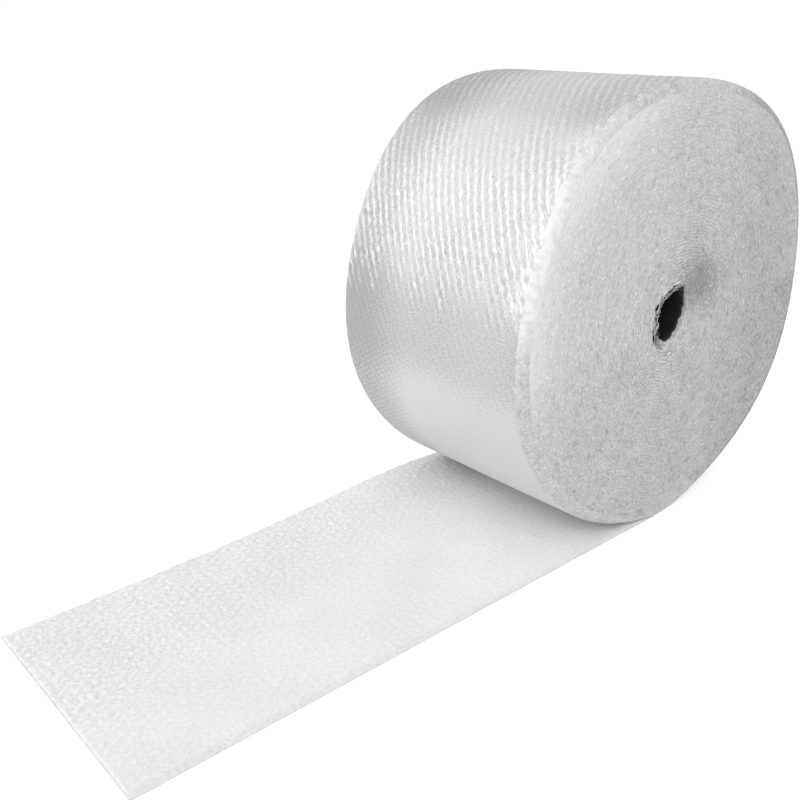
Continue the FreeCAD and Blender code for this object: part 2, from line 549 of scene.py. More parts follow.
def makeOuterTurn(material, edgeMaterial):
    spec = outerTurn
    half, rim = roll["halfWidth"], roll["rimRadius"]
    turn = np.linspace(0, math.pi / 2, spec["rimSteps"] + 1)
    straight = np.linspace(half - rim, -(half - rim), spec["acrossSteps"] + 1)[1:-1]
    x = mirrored(half - rim + rim * np.cos(turn), straight, -1)
    inset = mirrored(rim * (1 - np.sin(turn)), 0 * straight)
    normalX = mirrored(np.cos(turn), 0 * straight, -1)
    normalR = mirrored(np.sin(turn), 0 * straight + 1)
    across = np.concatenate([[0], np.cumsum(np.hypot(np.diff(x), np.diff(inset)))])
    angles = roll["footAngle"] + fullTurn * np.arange(roll["aroundSteps"]) / roll["aroundSteps"]
    circumference = fullTurn * roll["meanRadius"]
    along = circumference * np.arange(roll["aroundSteps"]) / roll["aroundSteps"]

    grid = (len(x), roll["aroundSteps"])
    acrossGrid = np.broadcast_to(across[:, None], grid)
    alongGrid = np.broadcast_to(along[None, :], grid)
    angleGrid = np.broadcast_to(angles[None, :], grid)
    degrees = np.degrees(angleGrid) % 360

    def noiseAt(alongSize, acrossSize, seed, wrap=None):
        return noiseOver(alongGrid, alongSize, acrossGrid, acrossSize, seed, wrap)

    # How strongly the bubbles press through, by place round the roll: most in the upper front,
    # and low down towards the far rim. It also sets how strongly the painted highlight strokes and the
    # painted valley shade show.
    xGrid = np.broadcast_to(x[:, None], grid)
    farSide = smoothStep(-20 * mm, -120 * mm, xGrid)
    ragged = 4 * smoothNoise(0 * alongGrid, acrossGrid / (9 * mm), 9)
    ragged = ragged + 5 * noiseAt(23, 15, 8)
    crowd = within(spec["crowdSpan"], degrees + ragged)
    press = 0.08 + 0.92 * crowd * (1 - 0.25 * farSide) + 0.22 * within(spec["topSpan"], degrees)
    press = press + 0.30 * (1 - smoothStep(60, 95, degrees)) + 0.30 * smoothStep(285, 320, degrees)
    press = press + 0.12 * within(spec["slackSpan"], degrees) * farSide
    patch = noiseAt(90, 70, 11, wrap=19)
    press = np.clip(press * (1 + 0.30 * patch), 0.06, 1.1)
    # painted shade: darker over the top, most towards the near end, in a band round the middle and towards
    # the far rim, lighter low down off the far side, a little patchy
    shade = 0.30 + 0.36 * smoothStep(60 * mm, 150 * mm, xGrid)
    shade = shade * within(spec["topShade"], degrees)
    shade = shade + 0.36 * within(spec["middleShade"], degrees) * (1 - 0.3 * farSide)
    shade = shade + 0.68 * farSide * (1 - 0.35 * crowd)
    shade = shade - 0.30 * smoothStep(182, 200, degrees) * (1 - farSide)
    shade = shade + 0.08 * patch
    hatched = within(spec["hatchSpan"], degrees) * (0.3 + 0.7 * farSide)
    rowPitch = circumference / spec["rowsAround"]
    wobble = 1.1 * mm * noiseAt(18.4, 12, 12, wrap=91)
    # slanting rows of bubbles, numbered across
    column = (acrossGrid + wobble) / spec["bubblePitch"] + alongGrid / (2 * rowPitch)
    ridge = 1 - smoothStep(0.10, 0.95, 2 * np.abs(column - np.round(column)))
    lean = spec["strokeLean"] * within(spec["leanSpan"], np.degrees(angles) % 360)
    strand = acrossGrid + wobble + (np.cumsum(lean) * (along[1] - along[0]))[None, :]
    distance, columns, rows = nearestBubble(acrossGrid + wobble, alongGrid,
                                            spec["bubblePitch"], rowPitch, spec["bubbleStretch"])
    rows = rows % spec["rowsAround"]
    plateau = 1 - smoothStep(2.4 * mm, 5.4 * mm, distance)
    uneven = 1 + 0.5 * scattered(columns, rows, 13)
    rowShare = (0.35 + 0.65 * smoothStep(130, 150, degrees)) * (1 - 0.35 * farSide)
    relief = spec["columnRelief"] * (ridge - 0.5) * rowShare
    relief = relief + spec["bubbleRelief"] * (plateau * uneven - 0.5)
    wrinkle = noiseAt(8.6, 4.4, 10, wrap=195)
    relief = relief * press + spec["wrinkleRelief"] * wrinkle * (0.25 + 0.75 * press)
    rimNear = 1 - smoothStep(0.9 * rim, 2.0 * rim, acrossGrid)
    rimFar = 1 - smoothStep(0.9 * rim, 2.0 * rim, across[-1] - acrossGrid)
    rimShare = np.maximum(rimNear, rimFar)
    fineFolds = noiseAt(3.6, 4.2, 15, wrap=465)
    folds = 0.55 * noiseAt(6.2, 9, 14, wrap=270) + 0.45 * fineFolds
    height = relief * (1 - 0.7 * rimShare) + spec["rimCrumple"] * folds * (0.10 + 0.90 * rimShare)
    sag = noiseAt(128.8, 110, 16, wrap=13)
    height = height + spec["sag"] * sag

    random = np.random.default_rng(17)
    streaks = list(placedStreaks)
    for _ in range(spec["streaks"]):
        streaks.append((random.uniform(-146, 146), random.uniform(-60, 150), random.uniform(10, 42),
                        random.uniform(1.2, 2.0), random.uniform(0.15, 0.6), random.uniform(-0.12, 0.2)))
    # raised creases along the winding, which the film's material also paints with a highlight
    raisedAndHighlit = np.zeros(grid)
    for place, angle, length, width, rise, slant in streaks:
        ahead = (np.radians(degrees - angle) + math.pi) % fullTurn - math.pi
        ahead = ahead * roll["meanRadius"]
        aside = xGrid - place * mm - slant * ahead
        taper = np.clip(1 - (ahead / (length * mm)) ** 2, 0, 1) ** 2
        raisedAndHighlit = np.maximum(raisedAndHighlit, rise * taper * np.exp(-(aside / (width * mm)) ** 2))
    torn = 0.75 + 0.5 * noiseAt(6.2, 5, 18, wrap=270)
    height = height + raisedAndHighlit * torn * mm

    atFoot = np.exp(-(((degrees - 268) / 18) ** 2))
    rounding = 1 - (1 - spec["footRim"]) * atFoot
    radius = outlineRadius(angleGrid) - inset[:, None] * rounding + normalR[:, None] * height
    points = np.stack([x[:, None] + normalX[:, None] * height,
                       radius * np.cos(angleGrid),
                       roll["centreHeight"] + radius * np.sin(angleGrid)], -1)
    points = restOnFloor(points.reshape(-1, 3))
    numbers = np.arange(len(points)).reshape(grid)
    # painted shade: in the low parts of the folds, round the near rim at the rear and along the far rim
    rear = (1 - smoothStep(50, 85, degrees)) + smoothStep(268, 300, degrees)
    paintedShade = np.clip(-0.40 * folds, 0, 0.4) + 0.8 * rimNear * rear
    paintedShade = paintedShade + (0.12 + 0.33 * within(spec["farRimShade"], degrees)) * rimFar
    # painted highlight on the rim faces over the lit front of the roll, patchy with the fine folds and weak
    # on the far rim
    litRim = (0.16 + 0.84 * smoothStep(106, 150, degrees)) * (1 - smoothStep(164, 188, degrees))
    crumpleAndHighlight = np.clip(0.84 + 0.36 * fineFolds, 0, 1) * litRim * (1 - 0.8 * rimFar)
    # painted highlight: the film is painted whiter towards the near rim, on the lit front of the roll
    rimHighlight = (1 - smoothStep(1.0 * rim, 3.2 * rim, acrossGrid + 1.5 * mm * ragged)) * litRim
    rimHighlight = rimHighlight * (1 - smoothStep(160, 176, degrees + ragged))
    places = np.stack([acrossGrid.ravel(), alongGrid.ravel()], -1)

    def outwards(middles):
        return middles - np.array([0, 0, roll["centreHeight"]])

    # faces of which more than half lies on the rim have the cut edges' material
    toRim = np.minimum(acrossGrid, across[-1] - acrossGrid)
    edgeShare = 1 - smoothStep(0, 2.5 * rim, toRim) + 0.05 * folds
    edgeShare = edgeShare + 0.12 * noiseAt(10.2, 30, 19, wrap=164)
    traits = {
        "paintedShade": paintedShade,
        "crumpleAndHighlight": crumpleAndHighlight,
        "column": column,
        "press": press * (1 - 0.5 * rimShare),
        "raisedAndHighlit": np.clip(raisedAndHighlit * 0.9 + 0.75 * rimHighlight, 0, 1),
        "shade": shade * (1 - 0.8 * rimHighlight),
        "deepShade": np.zeros(grid),
        "strand": strand,
        "dome": plateau * uneven,
        "hatched": hatched,
    }
    makePiece("outerTurn", points, [gridFaces(numbers, closed=True)], outwards, material, places,
              traits, (edgeMaterial, edgeShare.ravel()))
    return angles, points[numbers[0]], points[numbers[-1]]


outerFilm = makeOuterFilm()
cutEdges = makeCutEdges()
rimAngles, nearRing, farRing = makeOuterTurn(outerFilm, cutEdges)
print("outer turn wound")


# The hole for a hand through the middle, as the solid has it: three arcs with a sharp top.
hole = {
    "halfLength": 34.5 * mm,
    "halfWidth": 23.0 * mm,
    "footRadius": 15 * mm,
    "lean": 27,
    "centreY": -3.3 * mm,
    "centreZ": 260.2 * mm,
    "tipReach": 2.5 * mm,  # the film gives way a little further at the sharp top
    "ringSteps": 160,
    "jagged": 0.8 * mm,
    "meanRadius": 27 * mm,
}

def holeReach(angle):
    halfLength, halfWidth, footRadius = hole["halfLength"], hole["halfWidth"], hole["footRadius"]
    shift = (halfLength ** 2 - halfWidth ** 2) / (2 * halfWidth)
    sideRadius = halfWidth + shift
    footReach = sideRadius - footRadius
    footShift = math.sqrt(footReach ** 2 - shift ** 2)
    joinAcross = shift * (sideRadius / footReach - 1)
    joinDown = footShift * sideRadius / footReach
    leaning = np.asarray(angle) + math.radians(hole["lean"])
    aside = np.abs(np.cos(leaning))
    upwards = np.sin(leaning)
    side = -shift * aside + np.sqrt((shift * aside) ** 2 - shift ** 2 + sideRadius ** 2)
    foot = -footShift * upwards + np.sqrt((footShift * upwards) ** 2 - footShift ** 2 + footRadius ** 2)
    atFoot = np.arctan2(-upwards, aside) > math.atan2(joinDown, joinAcross)
    tip = hole["tipReach"] * np.exp(-((aside / 0.20) ** 2)) * (upwards > 0)
    return np.where(atFoot, foot, side + tip)


cutEnds = {
    "turns": 57,
    "alongStep": 2.62 * mm,
    "funnelRadius": 72 * mm,
    "funnelDepth": 9.0 * mm,
    "funnelPower": 2.2,
    # places of a turn's lines between two grooves, and how far each stands out, in mm
    "lines": ((0.0, -0.5), (0.22, 0.0), (0.46, 0.2), (0.70, 0.15), (0.87, -0.05)),
    "edgeNoise": 0.35,
    "fineNoise": 0.30,
    "crumplesAndHighlights": (0.52, 0.45),  # at 6.5 mm and at 3.6 mm
    "bubbleMarks": 0.15,
    "wander": 1.6 * mm,
    "banding": 0.6,
    "billow": 1.0,
    "lipSink": 6.0 * mm,  # how far the end gives way behind the innermost turns' lips
    "lipSpan": (70, 92, 222, 244),  # degrees round the hole
    # a patch of painted shade above the hole, and how far it reaches
    "shadePatchPlace": (36 * mm, 296 * mm),  # a shaded hollow above the hole, in Y and Z
    "shadePatchReach": 33 * mm,
}

# Rings that are the hole's outline at share 0 and the rim at share 1.
def ringPlace(share, angle):
    holeMean = hole["meanRadius"]
    rimMean = roll["meanRadius"] - roll["rimRadius"]
    radius = holeMean + (rimMean - holeMean) * share
    radius = radius + (holeReach(angle) - holeMean) * np.clip(1 - share, 0, 1) ** 6
    radius = radius + (outlineRadius(angle) - roll["meanRadius"]) * np.clip(share, 0, 1)
    centreY = hole["centreY"] * (1 - share)
    centreZ = hole["centreZ"] * (1 - share) + roll["centreHeight"] * share
    return centreY + radius * np.cos(angle), centreZ + radius * np.sin(angle)


def funnelDepth(y, z):
    spec = cutEnds
    reach = np.hypot(y - hole["centreY"], z - hole["centreZ"])
    share = np.clip((spec["funnelRadius"] - reach) / (spec["funnelRadius"] - hole["meanRadius"]), 0, 1.15)
    return spec["funnelDepth"] * share ** spec["funnelPower"]


# From 1 at the hole's outline to 0 outside the innermost turns' lips, on the side where they stand.
def lipZone(y, z, inner, outer):
    acrossHole, aboveHole = y - hole["centreY"], z - hole["centreZ"]
    angle = np.arctan2(aboveHole, acrossHole)
    outside = np.hypot(acrossHole, aboveHole) - holeReach(angle)
    degrees = np.degrees(angle) % 360
    outside = outside / (0.55 + 0.45 * smoothStep(100, 150, degrees))  # narrower near the sharp top
    return within(cutEnds["lipSpan"], degrees) * (1 - smoothStep(inner, outer, outside))


def makeCutEnd(name, side, rimRing, material, seed):
    spec = cutEnds
    turns = spec["turns"]
    start = roll["footAngle"]
    rimRadius = roll["meanRadius"] - roll["rimRadius"]
    pitch = (rimRadius - hole["meanRadius"]) / turns

    # Steps of even length along the spiral, which runs inwards from the foot.
    swept = [0.0]
    last = fullTurn * (turns - 1)
    while swept[-1] < last:
        reach = rimRadius - pitch * swept[-1] / fullTurn
        swept.append(swept[-1] + spec["alongStep"] / reach)
    swept = np.array(swept) * last / swept[-1]
    lastTurn = np.arange(1, hole["ringSteps"] + 1) / hole["ringSteps"] * fullTurn + last
    grooveSwept = np.concatenate([swept, lastTurn])

    def linePoints(lineSwept, offset, rise, lineSeed):
        wound = lineSwept / fullTurn + offset  # turns from the outside
        share = 1 - wound / turns
        angle = start + lineSwept
        y, z = ringPlace(share, angle)
        path = fullTurn * (rimRadius * wound - pitch * wound ** 2 / 2)
        fade = smoothStep(0, 0.12, wound) * (1 - smoothStep(turns - 0.6, turns, wound))
        edge = smoothNoise(path / (7.5 * mm), 0, seed)
        fine = smoothNoise(path / (3.6 * mm), 0, seed + lineSeed)
        mark = np.sin(fullTurn * path / (10.16 * mm) + 5 * scattered(np.floor(wound), 0, seed + 40))
        broad = noiseOver(y, 6.5, z, 6.5, seed + 56)
        small = noiseOver(y, 3.6, z, 3.6, seed + 57)
        reach = np.hypot(y, z - hole["centreZ"])
        nearHole = 1 - smoothStep(60 * mm, 150 * mm, reach)
        # towards +Y near the hole the painted groove shade and glints are weaker, and on its other side
        # stronger
        smooth = smoothStep(0, 30 * mm, y) * (1 - smoothStep(60 * mm, 110 * mm, reach))
        frayed = smoothStep(12 * mm, -14 * mm, y) * (1 - smoothStep(40 * mm, 62 * mm, reach))
        height = rise * (0.6 + 0.4 * nearHole) + spec["edgeNoise"] * edge + spec["fineNoise"] * fine
        height = height + spec["crumplesAndHighlights"][0] * broad + spec["crumplesAndHighlights"][1] * small
        height = height + spec["bubbleMarks"] * mark * (1 if offset < 0.6 else -0.4)
        band = smoothNoise(wound / 2.3, 0, seed + 51) + 0.5 * smoothNoise(wound / 0.9, 0, seed + 52)
        billow = noiseOver(y, 38, z, 38, seed + 53)
        push = spec["wander"] * noiseOver(y, 10, z, 10, seed + 54) * fade
        pull = spec["wander"] * noiseOver(y, 10, z, 10, seed + 55) * fade
        seam = np.hypot(y, z - (roll["centreHeight"] - rimRadius))
        fade = fade * smoothStep(5 * mm, 16 * mm, seam)
        out = (height + spec["banding"] * band + spec["billow"] * billow) * fade
        sunk = spec["lipSink"] * lipZone(y, z, 10 * mm, 16 * mm)
        x = roll["halfWidth"] - funnelDepth(y, z) - sunk + out * mm
        if offset == 0:
            # painted shade in the grooves between turns and in the low parts of the crumples, stronger near
            # the hole; painted glints on the lines between, near the hole
            grooveShade = np.clip(0.10 + 0.40 * nearHole + 0.35 * edge + 0.25 * broad, 0, 0.8)
            grooveShade = grooveShade * (1 - 0.5 * smooth)
            glint = 0 * edge
        else:
            grooveShade = np.clip(-0.38 * small - 0.18 * broad - 0.05, 0, 0.4)
            grooveShade = grooveShade + np.clip(-0.9 * fine, 0, 0.8) * frayed
            glint = np.clip(0.9 * fine - 0.15, 0, 0.6) * nearHole * (1 - 0.6 * smooth)
            glint = glint + np.clip(1.2 * fine - 0.1, 0, 0.8) * frayed
        return np.stack([side * x, y + push, z + pull], -1), grooveShade * fade, glint * fade

    points, paintedShades, glints = [], [], []
    numbers = []

    def addRow(made, grooveShade, glint):
        count = sum(len(row) for row in points)
        points.append(made)
        paintedShades.append(np.broadcast_to(grooveShade, len(made)))
        glints.append(np.broadcast_to(glint, len(made)))
        return np.arange(count, count + len(made))

    for index, (offset, rise) in enumerate(spec["lines"]):
        lineSwept = grooveSwept if index == 0 else swept
        numbers.append(addRow(*linePoints(lineSwept, offset, rise, index)))
    ringNumbers = addRow(rimRing, 0, 0)
    holeAngles = start + fullTurn * np.arange(hole["ringSteps"]) / hole["ringSteps"]
    holeY, holeZ = ringPlace(np.zeros(len(holeAngles)), holeAngles)
    frayed = hole["jagged"] * (0.5 * smoothNoise(holeAngles / fullTurn * 26, 0, seed + 60, wrap=26)
                               + smoothNoise(holeAngles / fullTurn * 80, 0, seed + 61, wrap=80))
    holeY, holeZ = holeY + frayed * np.cos(holeAngles), holeZ + frayed * np.sin(holeAngles)
    holeSunk = spec["lipSink"] * lipZone(holeY, holeZ, 10 * mm, 16 * mm)
    holeX = side * (roll["halfWidth"] - funnelDepth(holeY, holeZ) - holeSunk)
    holeRing = np.stack([holeX, holeY, holeZ], -1)
    # painted shade along the hole's edge
    holeNumbers = addRow(holeRing, 0.6, 0)
    points = restOnFloor(np.concatenate(points))

    rows = np.stack([numbers[0][:len(swept)], *numbers[1:]])
    quads = gridFaces(rows)
    # a turn's last line meets the groove of the next turn, which is one full turn further on
    tiny = 1e-9
    nextTurn = grooveSwept >= fullTurn - tiny
    inwardNumbers = numbers[0][nextTurn]
    triangles = [zipFaces(numbers[-1], swept, inwardNumbers, grooveSwept[nextTurn] - fullTurn)]
    outerGroove = numbers[0][~nextTurn]
    triangles.append(zipFaces(ringNumbers, rimAngles - start, outerGroove, grooveSwept[~nextTurn]))
    innermost = grooveSwept >= last - tiny
    innerGroove = numbers[0][innermost]
    innerPlaces = grooveSwept[innermost] - last
    triangles.append(zipFaces(innerGroove[:-1], innerPlaces[:-1], holeNumbers, holeAngles - start))
    # the steps at the spiral's two ends, where it leaves the rim and where it meets the hole
    outerStep = [ringNumbers[-1], ringNumbers[0], *rows[:, 0], inwardNumbers[0]]
    innerStep = [*innerGroove[-2:], *rows[::-1, -1], holeNumbers[0]]
    for pivot, step in ((outerGroove[-1], outerStep), (holeNumbers[-1], innerStep)):
        triangles.append(np.array([[pivot, first, second] for first, second in zip(step, step[1:])]))
    y, z = points[:, 1], points[:, 2]
    reach = np.hypot(y, z - roll["centreHeight"])
    degrees = np.degrees(np.arctan2(z - roll["centreHeight"], y)) % 360
    # painted highlight: the end is painted lighter on its lit upper front, more towards the rim and away
    # from the hole, with the painted glints added
    litSide = (0.25 + 0.75 * smoothStep(80, 120, degrees)) * (1 - smoothStep(172, 215, degrees))
    crumpleAndHighlight = litSide * (0.24 * smoothStep(50 * mm, 140 * mm, reach)
                         + 0.36 * smoothStep(160 * mm, 252 * mm, reach)
                         + 0.20 * smoothStep(218 * mm, 256 * mm, reach)) + np.concatenate(glints)
    # painted shade: a patch above the hole, and darker towards +Y
    toShadePatch = np.hypot(y - spec["shadePatchPlace"][0], z - spec["shadePatchPlace"][1])
    paintedShade = np.concatenate(paintedShades) + 0.78 * np.exp(-(toShadePatch / spec["shadePatchReach"]) ** 2)
    paintedShade = paintedShade + 0.20 * smoothStep(40 * mm, 200 * mm, y)
    # painted near-black shade behind the innermost turns' lips
    deepShade = 0.97 * lipZone(y, z, 9 * mm, 14 * mm)

    def outwards(middles):
        return np.broadcast_to([float(side), 0.0, 0.0], middles.shape)

    makePiece(name, points, [quads, np.concatenate(triangles)], outwards, material,
              None, {"paintedShade": paintedShade, "crumpleAndHighlight": crumpleAndHighlight, "deepShade": deepShade})
    return holeRing


nearHoleRing = makeCutEnd("nearTurnEdges", 1, nearRing, cutEdges, 100)
farHoleRing = makeCutEnd("farTurnEdges", -1, farRing, cutEdges, 200)
print("cut ends laid in spirals")


turnLips = {
    # offset outside the hole's outline in mm, and the angles in degrees where a lip starts and ends
    "lips": ((0.1, 62, 242), (4.0, 66, 238), (8.0, 76, 230), (11.6, 96, 214)),
    "thickness": 0.45 * mm,
    "standing": 1.2 * mm,
    "jagged": 1.3 * mm,
    "wander": 0.5 * mm,
    # depths down a lip's wall where its painted highlight rows end and its painted shade rows begin
    "highlightDepth": 0.8 * mm,
    "shadeDepth": 1.3 * mm,
    "rooted": 9.0 * mm,
    "sunkEnds": 5.0 * mm,  # how deep a lip's two ends lie
    "sections": 150,
}

# The innermost turns stand out round the hole as thin crumpled lips, painted with a highlight along their
# tops and near-black shade below, which makes the black gaps between them.
def makeTurnLips(name, side, material, seed):
    spec = turnLips
    points, faces, paintedShades, crumplesAndHighlights, deepShades = [], [], [], [], []
    count = 0
    for index, (offset, first, last) in enumerate(spec["lips"]):
        share = np.linspace(0, 1, spec["sections"])
        degrees = first + (last - first) * share
        angle = np.radians(degrees)
        arc = angle * 32 * mm  # along a lip of middling size

        def noiseAlong(size, step):
            return smoothNoise(arc / (size * mm), index, seed + step)

        waver = noiseAlong(6, 0)
        waver = waver + 0.5 * noiseAlong(2.6, 1)
        offset = offset * (0.80 + 0.30 * np.abs(np.cos(angle)))
        radius = holeReach(angle) + offset * mm + spec["wander"] * waver
        ragged = noiseAlong(4, 2)
        ragged = ragged + 0.6 * noiseAlong(1.7, 3)
        tapered = within((0, 0.10, 0.84, 1), share)
        y = hole["centreY"] + radius * np.cos(angle)
        z = hole["centreZ"] + radius * np.sin(angle)
        surface = roll["halfWidth"] - funnelDepth(y, z)
        top = surface + (spec["standing"] + spec["jagged"] * ragged) * tapered
        top = top - spec["sunkEnds"] * (1 - tapered)
        half = spec["thickness"] / 2
        # one loop round the lip: down its outer wall and up its inner one
        depths = (0.0, spec["highlightDepth"], spec["shadeDepth"], spec["rooted"])
        loop = [(half, down) for down in depths] + [(-half, down) for down in reversed(depths)]
        rows = []
        for aside, down in loop:
            rows.append(np.stack([side * (top - down), y + aside * np.cos(angle),
                                  z + aside * np.sin(angle)], -1))
        numbers = count + np.arange(spec["sections"] * len(loop)).reshape(-1, len(loop))
        points.append(np.stack(rows, 1).reshape(-1, 3))
        faces.append(gridFaces(numbers, closed=True))
        for end, turned in ((numbers[0], -1), (numbers[-1], 1)):
            caps = np.array([[end[0], end[1], end[6], end[7]], [end[1], end[2], end[5], end[6]],
                             [end[2], end[3], end[4], end[5]]])
            faces.append(caps[:, ::turned])
        # painted highlight along the top rows of each lip, broken in places by painted shade, and near-black
        # painted shade on the rows below
        lipHighlight = np.clip(0.55 + 0.45 * noiseAlong(3.1, 4), 0, 1)
        broken = 0.85 * smoothStep(0.25, 0.6, noiseAlong(4.4, 5))
        atTop = np.array([1, 1, 0, 0, 0, 0, 1, 1])
        crumplesAndHighlights.append((lipHighlight[:, None] * atTop).ravel())
        paintedShades.append(np.zeros(numbers.size))
        deepShades.append(np.maximum(broken[:, None] * atTop, 1 - atTop[None, :]).ravel())
        count += numbers.size
    makePiece(name, np.concatenate(points), [np.concatenate(faces)], lambda middles: middles, material,
              None, {"paintedShade": np.concatenate(paintedShades), "crumpleAndHighlight": np.concatenate(crumplesAndHighlights),
                     "deepShade": np.concatenate(deepShades)})


makeTurnLips("nearTurnLips", 1, cutEdges, 300)
makeTurnLips("farTurnLips", -1, cutEdges, 320)
print("innermost turns raised")


handHole = {
    "rows": 72,
    "crumpleAndHighlight": 1.0 * mm,
}

# The innermost turn's wall, from one end to the other.
def makeHandHole(material):
    spec = handHole
    share = np.linspace(0, 1, spec["rows"])[:, None, None]
    wall = nearHoleRing[None] * (1 - share) + farHoleRing[None] * share
    angles = fullTurn * np.arange(hole["ringSteps"]) / hole["ringSteps"]
    x = wall[..., 0]
    fade = within((0, 0.05, 0.95, 1), share[..., 0])
    turned = angles / fullTurn
    crumpleAndHighlight = smoothNoise(turned * 16, x / (11 * mm), 31, wrap=16)
    crumpleAndHighlight = crumpleAndHighlight + 0.5 * smoothNoise(turned * 32, x / (5 * mm), 32, wrap=32)
    centre = np.array([hole["centreY"], hole["centreZ"]])
    away = wall[..., 1:] - centre
    away = away / np.linalg.norm(away, axis=-1, keepdims=True)
    wall[..., 1:] = wall[..., 1:] + away * (spec["crumpleAndHighlight"] * crumpleAndHighlight * fade)[..., None]
    depth = roll["halfWidth"] - np.abs(x)
    # painted shade: the wall is painted lighter within the mouth and dark further in
    mouth = 1 - smoothStep(8 * mm, 14 * mm, depth)
    points = wall.reshape(-1, 3)

    def outwards(middles):
        return np.array([0, hole["centreY"], hole["centreZ"]]) - middles * np.array([0, 1, 1])

    numbers = np.arange(len(points)).reshape(x.shape)
    makePiece("handHoleWall", points, [gridFaces(numbers, closed=True)], outwards, material,
              None, {"mouth": mouth})


holeFilm = makeHoleFilm()
makeHandHole(holeFilm)
print("hand hole lined")


# The loose end: flat film below, bubbles above.
looseEnd = {
    "start": -19 * mm,  # where it runs in under the roll
    "length": 733.9 * mm,
    "width": 305 * mm,
    "stepsAcross": 168,
    "stepsAlong": 404,
    "bubblePitch": 11.73 * mm,
    "rowPitch": 10.16 * mm,
    "thickness": 4.7 * mm,
    "thinnest": 0.25 * mm,
    "bubbleRelief": 0.8 * mm,
    "farEdgeLift": 14 * mm,
    "liftPlace": -183 * mm,
    "liftReach": 170 * mm,
    "straying": 1.0 * mm,  # how far the bubbles stray from their lattice, together and each way
    "strayingApart": 2.2 * mm,
    "domeFade": (1.8 * mm, 5.6 * mm),  # from a bubble's top to its foot
    "releaseSpan": (45 * mm, 95 * mm),  # where the film comes out from under the roll
    "waves": 0.5 * mm,
    "cutDroop": (1.2 * mm, 2.5 * mm),  # how far the top falls at all cut edges, and over what reach
    "nearDroop": (1.4 * mm, 7 * mm),  # and at the near edge alone
}

